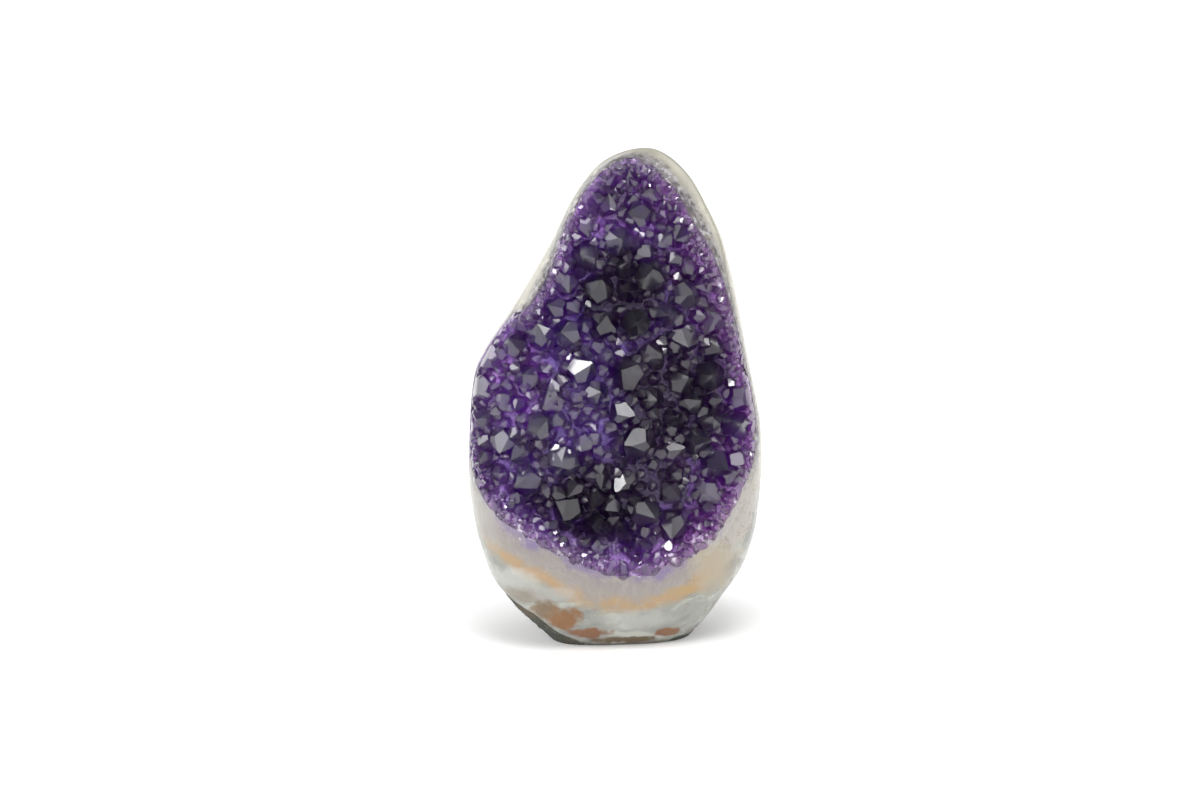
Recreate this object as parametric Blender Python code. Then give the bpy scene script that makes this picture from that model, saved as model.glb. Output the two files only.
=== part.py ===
"""Free-standing amethyst geode: a polished agate stone with a bed of amethyst crystals in its front.

Metres, +Z up. The crystals face -Y, and the origin is the middle of the flat base.
The stone is lofted through horizontal sections, then hollowed to take the crystal crust.
"""

import math
import random

import bmesh
import bpy
import numpy as np
from mathutils import Matrix, Vector, noise

MM = 0.001

# Stone sections from base to tip, in millimetres: height, left edge, right edge, front, back
PROFILE = (
    (0, -19, 22, -17, 15),
    (5, -24.4, 26.4, -21.5, 19),
    (12, -31, 31.2, -25.5, 22.5),
    (19, -35.5, 36, -28, 25),
    (26, -38.1, 39, -29, 27),
    (33, -40.1, 40.7, -29.5, 28),
    (47, -42, 42, -29.5, 28.5),
    (61, -41.8, 41.7, -28.5, 28),
    (72, -41, 39.6, -27.5, 27),
    (79, -39.6, 38.1, -26.5, 26.5),
    (86, -35.8, 36.7, -25.5, 25.5),
    (93, -31, 35.3, -24.5, 24.5),
    (103, -24.6, 33.2, -22, 22.5),
    (114, -18.3, 30.2, -19, 19.5),
    (124, -13.5, 25.5, -15, 16),
    (131, -8.9, 21.5, -11, 13),
    (136, -4.2, 17, -7, 10),
    (138.5, 0.5, 13.5, -3.5, 7.5),
    (140, 8.3, 8.3, 3, 3),
)
HEIGHT = PROFILE[-1][0]
FRONT_SQUARENESS = 3.0
BACK_SQUARENESS = 2.3
FACE_TURN = 0.12
DEPTH_SHIFT = 0.6
WIDEST_SHARE = 0.985
RING_COUNT = 21
RING_SEGMENTS = 28

# Lumps of the unpolished back, in millimetres; they fade in by the turn's sine and by height
LUMP_HEIGHT = 1.8
LUMP_SIZE = 12
LUMPY_TURN = (0.2, 0.6)
LUMPY_HEIGHT = (2, 14)

# Edge of the crystal bed seen from the front, clockwise from the tip, in millimetres: across, height
BED_EDGE = (
    (2.3, 138), (8.9, 136.6), (14.5, 132), (18.3, 127), (22.1, 120.5), (25.8, 114.5), (28.7, 108),
    (33.2, 94.5), (36.6, 80), (38.9, 70), (39.9, 61), (39.2, 53), (34.6, 43.3), (30.2, 35.8),
    (24.1, 29.2), (16.3, 25.4), (8.9, 23), (2.3, 22.4), (-5.2, 24.4), (-11.8, 27.4), (-19.5, 31.4),
    (-31.2, 38.3), (-38.4, 46), (-42, 56),
    (-43.5, 68), (-42.5, 77), (-37.5, 87.2), (-32, 93.4), (-24.1, 99), (-18.4, 109.4), (-13.8, 121.7),
    (-6.2, 132.7),
)
EDGE_STEPS = 8
BED_DEPTH = 11
WALL_WIDTH = 9
# Hollows (positive) and swells (negative) of the bed, in millimetres: across, height, radius, depth
BED_WAVES = (
    (-5, 39, 13, 3.5),
    (0, 100, 14, 2),
    (17, 71, 14, 3),
    (-17, 66, 14, -3.5),
    (14, 46, 9, -1.5),
)
BED_MIDDLE = (2, 66)
BED_RINGS = (0.42, 0.78, 0.94, 1, 1.12)
SPOKE_STEP = 4
SLOPE_STEP = 1.2
REACH = 60

# Crust of crystals, in millimetres
CRUST_GAP = 0.3
MOST_STRETCH = 3
MOST_LEAN = 0.9
SHEET_THICKNESS = 2.2
ROOT_DEPTH = 5
# Largest crystals: across, height, radius
LARGE_CRYSTALS = (
    (-10.1, 121.1, 3.9), (7.5, 121.5, 4.3), (19.5, 118.1, 4.2), (0, 114.6, 4.6), (-8.5, 110.5, 4.8),
    (-14.9, 104, 4.1), (9.5, 104.5, 5.2), (26, 103.7, 4), (18.6, 99.5, 4.3), (-5.4, 100.9, 4.7),
    (-22.6, 97.2, 3.7), (27.5, 94.1, 4.5), (5.2, 92.3, 4.3), (-3.4, 90.4, 4.1), (-13.3, 89.4, 4.4),
    (18.7, 88.5, 4.5), (-20.3, 87.2, 4.2), (-27.4, 85.5, 4.1), (-34.2, 81.5, 4.5), (10.4, 82.6, 4),
    (-10.7, 79.2, 4.9), (2.6, 78, 5.5), (25.6, 76.4, 4.6), (-37, 73.6, 4.4), (17.5, 75, 4.3),
    (-17.6, 72.2, 4.6), (33.8, 70.5, 4.1), (0, 67.6, 4.2), (-21.9, 64, 4.6), (33.4, 62, 4.9),
    (-31, 61, 4.2), (6.8, 59.1, 5.1), (-15, 55.4, 5.2), (25.6, 53.2, 4.3), (-24.2, 49.2, 5.2),
    (24, 45, 4.8), (-13.9, 41.5, 5.1), (7.1, 40, 5), (16.5, 36.7, 4.5), (-6.2, 35.2, 3.7),
)
SMALL_RADIUS = (3.2, 4.3)
EDGE_SHRINK = 0.7
CRYSTAL_SPACING = 1.7
CRYSTAL_TRIES = 7000
CRYSTAL_ZONE = ((-44, 42), (20, 138))
TIP_SLOPE = math.radians(51.8)
TIP_LENGTHS = (0.9, 1.15)
LARGE_FACE_SETBACK = (-0.16, 0.1)
SMALL_FACE_SETBACK = (0, 0.32)
CRYSTAL_RISE = (-0.8, 1.2)
MOST_TILT = math.radians(44)
SEED = 7

# Colours
AGATE_COLOUR = (0.66, 0.63, 0.58, 1)
AMETHYST_COLOUR = (0.11, 0.035, 0.24, 1)


def hermite(table, keys, key):
    """Each column of the table at this key, on a smooth curve through its rows."""
    row = min(max(int(np.searchsorted(keys, key)) - 1, 0), len(keys) - 2)
    span = keys[row + 1] - keys[row]
    t = (key - keys[row]) / span

    def slope(i):
        before, after = max(i - 1, 0), min(i + 1, len(keys) - 1)
        return (table[after] - table[before]) / (keys[after] - keys[before]) * span

    start, end = table[row], table[row + 1]
    return (
        (2 * t**3 - 3 * t**2 + 1) * start
        + (t**3 - 2 * t**2 + t) * slope(row)
        + (3 * t**2 - 2 * t**3) * end
        + (t**3 - t**2) * slope(row + 1)
    )


SIDES = np.array([row[1:] for row in reversed(PROFILE)], float)
SIDE_KEYS = np.array([math.sqrt(1 - row[0] / HEIGHT) for row in reversed(PROFILE)])


def section(height):
    """Middle across, half width, middle in depth and half depth of the stone at this height."""
    key = math.sqrt(max(0.0, 1 - height / HEIGHT))
    left, right, front, back = hermite(SIDES, SIDE_KEYS, key)
    return (left + right) / 2, (right - left) / 2, (front + back) / 2 + DEPTH_SHIFT, (back - front) / 2


def smooth(value, low, high):
    t = min(1.0, max(0.0, (value - low) / (high - low)))
    return t * t * (3 - 2 * t)


def stone_point(height, turn):
    """Point of the stone's skin. Turn 0 is the right edge, a quarter the back, three quarters the front."""
    middle, half, centre, deep = section(height)
    along, across = math.cos(turn), math.sin(turn)
    power = 2 / (BACK_SQUARENESS if across > 0 else FRONT_SQUARENESS)
    offset = half * math.copysign(abs(along) ** power, along)
    depth = centre + deep * math.copysign(abs(across) ** power, across) + FACE_TURN * offset
    point = Vector((middle + offset, depth, height))
    lumpiness = smooth(across, *LUMPY_TURN) * smooth(height, *LUMPY_HEIGHT)
    outward = Vector((offset, depth - centre, 0)).normalized()
    return point + outward * LUMP_HEIGHT * lumpiness * noise.noise(point / LUMP_SIZE)


def front_depth(across, height):
    """Depth of the stone's front skin, before it is hollowed."""
    middle, half, centre, deep = section(height)
    offset = across - middle
    share = min(abs(offset) / max(half, MM), WIDEST_SHARE)
    bulge = (1 - share**FRONT_SQUARENESS) ** (1 / FRONT_SQUARENESS)
    return centre - deep * bulge + FACE_TURN * offset


def edge_curve():
    """The bed's edge as a closed, smooth outline."""
    points = np.array(BED_EDGE, float)
    outline = []
    for i in range(len(points)):
        before, start, end, after = (points[(i + k) % len(points)] for k in (-1, 0, 1, 2))
        for t in np.arange(EDGE_STEPS) / EDGE_STEPS:
            outline.append(
                0.5
                * (
                    2 * start
                    + (end - before) * t
                    + (2 * before - 5 * start + 4 * end - after) * t**2
                    + (3 * start - before - 3 * end + after) * t**3
                )
            )
    return np.array(outline)


EDGE = edge_curve()


def inset(across, height):
    """How far a point lies inside the bed's edge; outside it is negative."""
    point = np.array((across, height))
    start, end = EDGE, np.roll(EDGE, -1, axis=0)
    run = end - start
    share = np.clip(((point - start) * run).sum(1) / (run * run).sum(1), 0, 1)
    distance = np.linalg.norm(start + share[:, None] * run - point, axis=1).min()
    spans = (start[:, 1] > height) != (end[:, 1] > height)
    rise = np.where(spans, end[:, 1] - start[:, 1], 1.0)
    crossing = start[:, 0] + (height - start[:, 1]) / rise * run[:, 0]
    inside = np.count_nonzero(spans & (crossing > across)) % 2 == 1
    return distance if inside else -distance


def bed_depth(across, height):
    """Depth of the bed below the stone's front skin. Outside its edge it is negative."""
    share = inset(across, height) / WALL_WIDTH
    full = BED_DEPTH + sum(
        depth * math.exp(-((across - x) ** 2 + (height - z) ** 2) / radius**2)
        for x, z, radius, depth in BED_WAVES
    )
    if share < 0:
        return 2 * full * max(share, -1)
    return full * (1 - (1 - min(share, 1)) ** 2)


def bed_floor(across, height):
    return front_depth(across, height) + bed_depth(across, height)


def floor_slopes(across, height):
    """How fast the bed's floor falls back across and upwards."""
    return (
        (bed_floor(across + SLOPE_STEP, height) - bed_floor(across - SLOPE_STEP, height)) / (2 * SLOPE_STEP),
        (bed_floor(across, height + SLOPE_STEP) - bed_floor(across, height - SLOPE_STEP)) / (2 * SLOPE_STEP),
    )


def floor_normal(across, height):
    """Direction that crystals grow in, held back where the bed's wall is steep."""
    slope_across, slope_up = (
        max(-MOST_LEAN, min(MOST_LEAN, slope)) for slope in floor_slopes(across, height)
    )
    return Vector((slope_across, -1, slope_up)).normalized()


def crust_back(across, height):
    """Depth of the crust's back, the gap in front of the bed measured square to it."""
    slope_across, slope_up = floor_slopes(across, height)
    stretch = min(math.sqrt(1 + slope_across**2 + slope_up**2), MOST_STRETCH)
    return bed_floor(across, height) - CRUST_GAP * stretch


def new_object(name, mesh, collection, colour=None, roughness=0.5):
    built = bpy.data.objects.new(name, mesh)
    collection.objects.link(built)
    if colour:
        material = bpy.data.materials.new(name)
        material.use_nodes = True
        shader = material.node_tree.nodes["Principled BSDF"]
        shader.inputs["Base Color"].default_value = colour
        shader.inputs["Roughness"].default_value = roughness
        shader.inputs["Metallic"].default_value = 0
        mesh.materials.append(material)
    else:
        built.hide_render = True
        built.display_type = "WIRE"
    return built


def mesh_of(name, bm):
    """A mesh in metres from one in millimetres."""
    bmesh.ops.scale(bm, vec=(MM,) * 3, verts=bm.verts)
    bmesh.ops.recalc_face_normals(bm, faces=bm.faces)
    mesh = bpy.data.meshes.new(name)
    bm.to_mesh(mesh)
    bm.free()
    return mesh


def drawn_ring(bm, ring, edges):
    """The ring's copy, joined to it by new faces, in the same order."""
    drawn = bmesh.ops.extrude_edge_only(bm, edges=edges)["geom"]
    fresh = set(e for e in drawn if isinstance(e, bmesh.types.BMVert))
    return [next(e.other_vert(v) for e in v.link_edges if e.other_vert(v) in fresh) for v in ring]


def stone_blank():
    """The whole stone before it is hollowed: rings drawn up from the base and closed at the tip."""
    bm = bmesh.new()
    turns = [2 * math.pi * i / RING_SEGMENTS for i in range(RING_SEGMENTS)]
    bmesh.ops.create_circle(bm, cap_ends=True, segments=RING_SEGMENTS, radius=1)
    ring = sorted(bm.verts, key=lambda v: math.atan2(v.co.y, v.co.x) % (2 * math.pi))
    for vert, turn in zip(ring, turns):
        vert.co = stone_point(0, turn)
    for row in range(1, RING_COUNT + 1):
        height = HEIGHT * (1 - math.cos(math.pi * row / RING_COUNT)) / 2
        edges = [bm.edges.get((ring[i - 1], ring[i])) for i in range(RING_SEGMENTS)]
        ring = drawn_ring(bm, ring, edges)
        for vert, turn in zip(ring, turns):
            vert.co = stone_point(height, turn)
    bmesh.ops.pointmerge(bm, verts=ring, merge_co=stone_point(HEIGHT, 0))
    return mesh_of("stone_blank", bm)


def slab(name, back, front):
    """A solid between two surfaces over the bed, each a depth for a place across and a height."""
    bm = bmesh.new()
    spokes = EDGE[::SPOKE_STEP]
    bmesh.ops.create_circle(bm, cap_ends=True, cap_tris=True, segments=len(spokes), radius=1)
    hub = max(bm.verts, key=lambda v: len(v.link_edges))
    ring = sorted((v for v in bm.verts if v != hub), key=lambda v: -math.atan2(v.co.y, v.co.x))
    hub.co = (*BED_MIDDLE, 0)
    for share in BED_RINGS:
        if share != BED_RINGS[0]:
            edges = [bm.edges.get((ring[i - 1], ring[i])) for i in range(len(ring))]
            ring = drawn_ring(bm, ring, edges)
        for vert, spoke in zip(ring, spokes):
            vert.co = (*(Vector(BED_MIDDLE).lerp(Vector(spoke), share)), 0)
    for vert in bm.verts:
        across, height = vert.co.x, vert.co.y
        vert.co = (across, back(across, height), height)
    drawn = bmesh.ops.extrude_face_region(bm, geom=list(bm.faces), use_keep_orig=True)["geom"]
    for vert in (e for e in drawn if isinstance(e, bmesh.types.BMVert)):
        vert.co.y = front(vert.co.x, vert.co.z)
    bmesh.ops.triangulate(bm, faces=bm.faces, quad_method="FIXED")
    return mesh_of(name, bm)


def crystal(rng, radius, length):
    """One quartz point along +Z: a six-sided prism cut by three large and three small tip faces."""
    bm = bmesh.new()
    bmesh.ops.create_cone(
        bm, cap_ends=True, segments=6, radius1=radius, radius2=radius, depth=length + ROOT_DEPTH + radius
    )
    bmesh.ops.translate(bm, vec=(0, 0, (length + radius - ROOT_DEPTH) / 2), verts=bm.verts)
    for face in range(6):
        bearing = math.radians(30 + 60 * face)
        normal = Vector((math.cos(bearing), math.sin(bearing), 0)) * math.sin(TIP_SLOPE)
        normal.z = math.cos(TIP_SLOPE)
        setback = rng.uniform(*(SMALL_FACE_SETBACK if face % 2 else LARGE_FACE_SETBACK))
        cut = bmesh.ops.bisect_plane(
            bm,
            geom=list(bm.verts) + list(bm.edges) + list(bm.faces),
            plane_co=(0, 0, length + setback * radius),
            plane_no=normal,
            clear_outer=True,
        )["geom_cut"]
        rim = [e for e in cut if isinstance(e, bmesh.types.BMEdge)]
        if len(rim) > 2:
            bmesh.ops.contextual_create(bm, geom=rim)
    return bm


def crystal_places(rng):
    """Roots of all crystals: the largest, and small ones that fill the bed between them."""
    places = list(LARGE_CRYSTALS)
    for _ in range(CRYSTAL_TRIES):
        across, height = (rng.uniform(*limits) for limits in CRYSTAL_ZONE)
        edge = inset(across, height)
        radius = rng.uniform(*SMALL_RADIUS) * (EDGE_SHRINK + (1 - EDGE_SHRINK) * smooth(edge, 0, WALL_WIDTH))
        clear = all(
            math.hypot(across - x, height - z) > CRYSTAL_SPACING * (radius + other) / 2
            for x, z, other in places
        )
        if clear and edge > 0:
            places.append((across, height, radius))
    return places


def crystal_cluster():
    """All crystals, each grown about square to the bed and tilted its own way."""
    rng = random.Random(SEED)
    bm = bmesh.new()
    for across, height, radius in crystal_places(rng):
        tip = radius * math.tan(TIP_SLOPE) * rng.uniform(*TIP_LENGTHS)
        length = SHEET_THICKNESS + tip + rng.uniform(*CRYSTAL_RISE)
        grown = crystal(rng, radius, length)
        placed = (
            Matrix.Translation((across, bed_floor(across, height), height))
            @ floor_normal(across, height).to_track_quat("Z", "Y").to_matrix().to_4x4()
            @ Matrix.Rotation(rng.uniform(0, 2 * math.pi), 4, "Z")
            @ Matrix.Rotation(MOST_TILT * rng.random(), 4, "X")
            @ Matrix.Rotation(rng.uniform(0, 2 * math.pi), 4, "Z")
        )
        bmesh.ops.transform(grown, matrix=placed, verts=grown.verts)
        scratch = bpy.data.meshes.new("scratch")
        grown.to_mesh(scratch)
        grown.free()
        bm.from_mesh(scratch)
        bpy.data.meshes.remove(scratch)
    return mesh_of("crystal_cluster", bm)


def combine(target, other, operation, joins_itself=False):
    modifier = target.modifiers.new(operation.lower(), "BOOLEAN")
    modifier.operation = operation
    modifier.object = other
    modifier.use_self = joins_itself


def keep_outer_shell(target):
    """Applies the modifiers, and drops sealed pockets between crystals and chips cut loose at the edge."""
    graph = bpy.context.evaluated_depsgraph_get()
    mesh = bpy.data.meshes.new_from_object(target.evaluated_get(graph))
    bm = bmesh.new()
    bm.from_mesh(mesh)
    unseen, shells = set(bm.verts), []
    while unseen:
        shell, front = set(), {unseen.pop()}
        while front:
            shell |= front
            front = {e.other_vert(v) for v in front for e in v.link_edges} - shell
        unseen -= shell
        shells.append(shell)
    shells.sort(key=len)
    bmesh.ops.delete(bm, geom=[v for shell in shells[:-1] for v in shell], context="VERTS")
    bm.to_mesh(mesh)
    bm.free()
    target.modifiers.clear()
    target.data = mesh


def main():
    for old in list(bpy.data.objects):
        bpy.data.objects.remove(old)
    parts = bpy.data.collections.new("amethyst_geode")
    helpers = bpy.data.collections.new("cutters")
    for collection in (parts, helpers):
        bpy.context.scene.collection.children.link(collection)

    hollow = new_object("bed_cutter", slab("bed_cutter", bed_floor, lambda x, z: -REACH), helpers)
    stone = new_object("agate_stone", stone_blank(), parts, AGATE_COLOUR, 0.12)
    combine(stone, hollow, "DIFFERENCE")

    sheet = slab(
        "crust_sheet",
        lambda x, z: bed_floor(x, z) + ROOT_DEPTH,
        lambda x, z: crust_back(x, z) - SHEET_THICKNESS,
    )
    crust = new_object("amethyst_crust", sheet, parts, AMETHYST_COLOUR, 0.08)
    cluster = new_object("crystal_cluster", crystal_cluster(), helpers)
    combine(crust, cluster, "UNION", joins_itself=True)
    room = new_object("crust_room", slab("crust_room", crust_back, lambda x, z: -REACH), helpers)
    combine(crust, room, "INTERSECT")
    whole = new_object("stone_envelope", stone.data.copy(), helpers)
    combine(crust, whole, "INTERSECT")
    keep_outer_shell(crust)


main()
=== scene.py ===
"""Amethyst geode: the looks of a polished agate stone and of the amethyst crystals in its hollow.

Sizes are in millimetres where a name or comment says so, and every mesh is in metres.
The crystals face -Y, +Z is up, and the origin is the middle of the flat base.
"""
import math
import random

import bmesh
import bpy
import numpy as np
from bpy.props import FloatProperty, FloatVectorProperty, IntProperty, PointerProperty
from mathutils import Matrix, Vector, kdtree, noise
from mathutils.bvhtree import BVHTree


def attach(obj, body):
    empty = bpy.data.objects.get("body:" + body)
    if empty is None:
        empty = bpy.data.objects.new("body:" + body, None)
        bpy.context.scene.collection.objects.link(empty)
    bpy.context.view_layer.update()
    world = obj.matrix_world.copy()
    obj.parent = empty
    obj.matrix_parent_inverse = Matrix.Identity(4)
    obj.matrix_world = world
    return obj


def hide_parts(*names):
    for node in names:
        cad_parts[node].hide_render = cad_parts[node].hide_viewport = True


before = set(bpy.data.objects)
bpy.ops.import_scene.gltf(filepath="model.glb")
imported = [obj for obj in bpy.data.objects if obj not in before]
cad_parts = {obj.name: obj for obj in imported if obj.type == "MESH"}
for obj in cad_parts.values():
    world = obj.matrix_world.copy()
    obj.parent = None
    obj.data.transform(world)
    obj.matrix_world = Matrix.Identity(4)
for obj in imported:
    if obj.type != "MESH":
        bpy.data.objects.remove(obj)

bl_info = {
    "name": "Amethyst geode",
    "version": (1, 0, 0),
    "blender": (4, 5, 0),
    "location": "3D View > Sidebar > Geode",
    "description": "Builds a cut-base amethyst geode and a plain studio around it",
    "category": "Add Mesh",
}

MM = 0.001

# Stone sections from base to tip, in millimetres: height, left edge, right edge, front, back
PROFILE = (
    (0, -19, 22, -17, 15),
    (5, -24.4, 26.4, -21.5, 19),
    (12, -31, 31.2, -25.5, 22.5),
    (19, -35.5, 36, -28, 25),
    (26, -38.1, 39, -29, 27),
    (33, -40.1, 40.7, -29.5, 28),
    (47, -42, 42, -29.5, 28.5),
    (61, -41.8, 41.7, -28.5, 28),
    (72, -41, 39.6, -27.5, 27),
    (79, -39.6, 38.1, -26.5, 26.5),
    (86, -35.8, 36.7, -25.5, 25.5),
    (93, -31, 35.3, -24.5, 24.5),
    (103, -24.6, 33.2, -22, 22.5),
    (114, -18.3, 30.2, -19, 19.5),
    (124, -13.5, 25.5, -15, 16),
    (131, -8.9, 21.5, -11, 13),
    (136, -4.2, 17, -7, 10),
    (138.5, 0.5, 13.5, -3.5, 7.5),
    (140, 8.3, 8.3, 3, 3),
)
HEIGHT = PROFILE[-1][0]
FRONT_SQUARENESS = 3.0
BACK_SQUARENESS = 2.3
FACE_TURN = 0.12
DEPTH_SHIFT = 0.6
WIDEST_SHARE = 0.985
LUMP_HEIGHT = 1.8
LUMP_SIZE = 12
LUMPY_TURN = (0.2, 0.6)
LUMPY_HEIGHT = (2, 14)

# Edge of the crystal bed on the front, clockwise from the tip, in millimetres: across, height
BED_EDGE = (
    (2.3, 138), (8.9, 136.6), (14.5, 132), (18.3, 127), (22.1, 120.5), (25.8, 114.5), (28.7, 108),
    (33.2, 94.5), (36.6, 80), (38.9, 70), (39.9, 61), (39.2, 53), (34.6, 43.3), (30.2, 35.8),
    (24.1, 29.2), (16.3, 25.4), (8.9, 23), (2.3, 22.4), (-5.2, 24.4), (-11.8, 27.4), (-19.5, 31.4),
    (-31.2, 38.3), (-38.4, 46), (-42, 56), (-43.5, 68), (-42.5, 77), (-37.5, 87.2), (-32, 93.4),
    (-24.1, 99), (-18.4, 109.4), (-13.8, 121.7), (-6.2, 132.7),
)
EDGE_STEPS = 8
BED_DEPTH = 11
WALL_WIDTH = 9
# Hollows (positive) and swells (negative) of the bed, in millimetres: across, height, radius, depth
BED_WAVES = (
    (-5, 39, 13, 3.5),
    (0, 100, 14, 2),
    (17, 71, 14, 3),
    (-17, 66, 14, -3.5),
    (14, 46, 9, -1.5),
)
BED_MIDDLE = (2, 66)
REACH = 60

# Largest crystals, in millimetres: across, height, radius
LARGE_CRYSTALS = (
    (-10.1, 121.1, 3.9), (7.5, 121.5, 4.3), (19.5, 118.1, 4.2), (0, 114.6, 4.6), (-8.5, 110.5, 4.8),
    (-14.9, 104, 4.1), (9.5, 104.5, 5.2), (26, 103.7, 4), (18.6, 99.5, 4.3), (-5.4, 100.9, 4.7),
    (-22.6, 97.2, 3.7), (27.5, 94.1, 4.5), (5.2, 92.3, 4.3), (-3.4, 90.4, 4.1), (-13.3, 89.4, 4.4),
    (18.7, 88.5, 4.5), (-20.3, 87.2, 4.2), (-27.4, 85.5, 4.1), (-34.2, 81.5, 4.5), (10.4, 82.6, 4),
    (-10.7, 79.2, 4.9), (2.6, 78, 5.5), (25.6, 76.4, 4.6), (-37, 73.6, 4.4), (17.5, 75, 4.3),
    (-17.6, 72.2, 4.6), (33.8, 70.5, 4.1), (0, 67.6, 4.2), (-21.9, 64, 4.6), (33.4, 62, 4.9),
    (-31, 61, 4.2), (6.8, 59.1, 5.1), (-15, 55.4, 5.2), (25.6, 53.2, 4.3), (-24.2, 49.2, 5.2),
    (24, 45, 4.8), (-13.9, 41.5, 5.1), (7.1, 40, 5), (16.5, 36.7, 4.5), (-6.2, 35.2, 3.7),
)
SMALL_RADIUS = (3.2, 4.3)
EDGE_SHRINK = 0.7
CRYSTAL_SPACING = 1.7
CRYSTAL_TRIES = 7000
CRYSTAL_ZONE = ((-44, 42), (20, 138))
CRYSTAL_SEED = 7
SHEET_THICKNESS = 2.2
TIP_SLOPE = math.radians(51.8)
TIP_LENGTHS = (0.9, 1.15)
CRYSTAL_RISE = (-0.8, 1.2)
LARGE_FACE_SETBACK = (-0.16, 0.1)
SMALL_FACE_SETBACK = (0.02, 0.4)
MOST_TILT = math.radians(44)
CRYSTAL_ROOT = 0.5
SMALL_ROOT = 1.0
# The floor's direction is measured this far around a crystal and leans at most this much
NORMAL_STEP = 1.2
MOST_LEAN = 0.9

# Fineness of the finished stone and of what hollows it, which reaches past the bed's edge
SKIN_RINGS = 170
SKIN_SEGMENTS = 260
CUTTER_RINGS = 22
CUTTER_OVERHANG = 1.12
# How far the bed's floor is lifted and its edge wanders, in millimetres
BED_LIFT = 2.6
EDGE_WOBBLE = 1.6
# What cuts off crystals that reach past the stone: how much smaller it is, and its fineness
ENVELOPE_SHRINK = 0.08
ENVELOPE_RADIUS = 40
ENVELOPE_RINGS = 70
ENVELOPE_SEGMENTS = 120
# A point is on the bed's floor if it is this far behind the skin and at most this far outside
# the bed's edge and past its floor. Its distance from the edge starts at the last of these
BEHIND_SKIN = 0.08
PAST_EDGE = 1.5
PAST_FLOOR = 0.5
NEAREST_ON_FLOOR = -0.3
# Side of the squares in which near neighbours of a small crystal are looked for
CELL = 3.0
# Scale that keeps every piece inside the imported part's box
FIT = (0.998, 0.994, 1)

# Studio light that comes from all around: the room, and panels towards a direction, with
# the angles at which each is full and has faded away, and how much brighter than the room it is
ROOM_RADIANCE = 0.14
PANELS = (
    ((-1, -0.2, 0.45), 24, 30, 1.05),
    ((-1, -0.2, 0.45), 5, 16, 4.4),
    ((0.1, -0.15, 1), 31, 38, 1.0),
    ((0.0, -0.3, 1), 6, 18, 4.2),
    ((1, -0.15, 0.3), 21, 28, 1.0),
    ((1, -0.25, 0.35), 4, 12, 4.4),
    ((-0.5, 0.8, 0.4), 22, 30, 1.2),
    ((0.7, 0.7, 0.5), 20, 28, 1.1),
    ((-0.4, -0.75, 0.65), 4, 13, 4.0),
    ((0.6, -0.75, 0.45), 3, 9, 4.0),
)

# Painted shade: hollows of the bed on the front, made dark, in millimetres: across, height, half
# width, half height
SHADED_HOLLOWS = ((15, 71, 16, 19), (-5, 43, 15, 11), (2, 100, 12, 13), (10, 49, 12, 10))

# Painted glow: places of the bed made bright violet where light shines through the crystals, in the
# same form
PAINTED_GLOW = ((0, 124, 13, 9), (33, 66, 7, 17), (-27, 78, 9, 12))

# Patches of the agate, in the same form, with their colour and strength
AGATE_PATCHES = (
    ((27.5, 23.5, 6.5, 7), (0.4, 0.335, 0.24), 0.85),
    ((-26, 17, 6, 2.6), (0.24, 0.2, 0.155), 0.7),
    ((-29, 22, 8, 3), (0.5, 0.5, 0.47), 0.6),
    ((-17, 18, 6, 2.2), (0.45, 0.45, 0.43), 0.5),
    ((18.5, 18, 4.6, 1.4), (0.42, 0.28, 0.12), 0.7),
    ((6, 9, 9, 3), (0.46, 0.46, 0.43), 0.55),
    ((25, 2.5, 4, 2.2), (0.11, 0.095, 0.065), 0.9),
    ((29.5, 8, 2, 3.6), (0.16, 0.14, 0.1), 0.8),
)
# Places of the jasper patches, in the same form
JASPER_PATCHES = (
    (-19, 12, 6, 3.4), (-15, 10.2, 5.2, 4), (-7.5, 4.9, 5.6, 1.9), (2.5, 2, 9, 1.3),
    (14.9, 3.9, 3.6, 1.7),
)

# Colours of the agate and the basalt that no setting holds
GREY_CREAM = (0.43, 0.41, 0.37)
RUSTY_SPECK = (0.3, 0.23, 0.16)
GREEN_WHITE = (0.42, 0.42, 0.38)
QUARTZ_GRAIN = (0.85, 0.82, 0.86)
RIM_DARK_GREY = (0.17, 0.155, 0.17)
RIM_GREY = (0.27, 0.26, 0.25)
RIM_PALE_SPECK = (0.5, 0.49, 0.5)
RIM_DARK_SPECK = (0.07, 0.06, 0.06)
PALE_JASPER = (0.2, 0.14, 0.085)
BROWN_VEIN = (0.2, 0.14, 0.08)
WHITE_VEIN = (0.6, 0.58, 0.54)
BASE_LINE = (0.1, 0.085, 0.055)
DARK_LINE = (0.055, 0.055, 0.035)
PALE_LINE = (0.3, 0.3, 0.23)
BROWN_STAIN = (0.115, 0.082, 0.05)
GREEN_STAIN = (0.05, 0.075, 0.055)
BASALT_HOLLOW = (0.018, 0.018, 0.015)
BASALT_SPECK = (0.26, 0.27, 0.22)

# Colours of the bed's floor from its edge inwards, on the left and on the right
COOL_BED = (
    (0.0, (0.44, 0.4, 0.46)), (0.16, (0.34, 0.25, 0.46)), (0.4, (0.25, 0.12, 0.45)),
    (1.0, (0.14, 0.075, 0.34)),
)
WARM_BED = (
    (0.0, (0.46, 0.42, 0.46)), (0.16, (0.42, 0.27, 0.48)), (0.4, (0.31, 0.11, 0.42)),
    (1.0, (0.15, 0.05, 0.26)),
)
LEFT_BED = (0.1, 0.06, 0.19)
UPPER_BED = (0.13, 0.065, 0.24)
# Painted glow: the bright violet of the bed's floor where light shines through the crystals
PAINTED_GLOW_BED = (0.36, 0.13, 0.56)
# Painted shade: the bed's floor made near black in its hollows
PAINTED_SHADE_BED = (0.012, 0.006, 0.03)
DARK_GRAIN = (0.05, 0.025, 0.09)
BRIGHT_GRAIN = (0.75, 0.72, 0.78)
GRAINS_PER_METRE = 850

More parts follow.
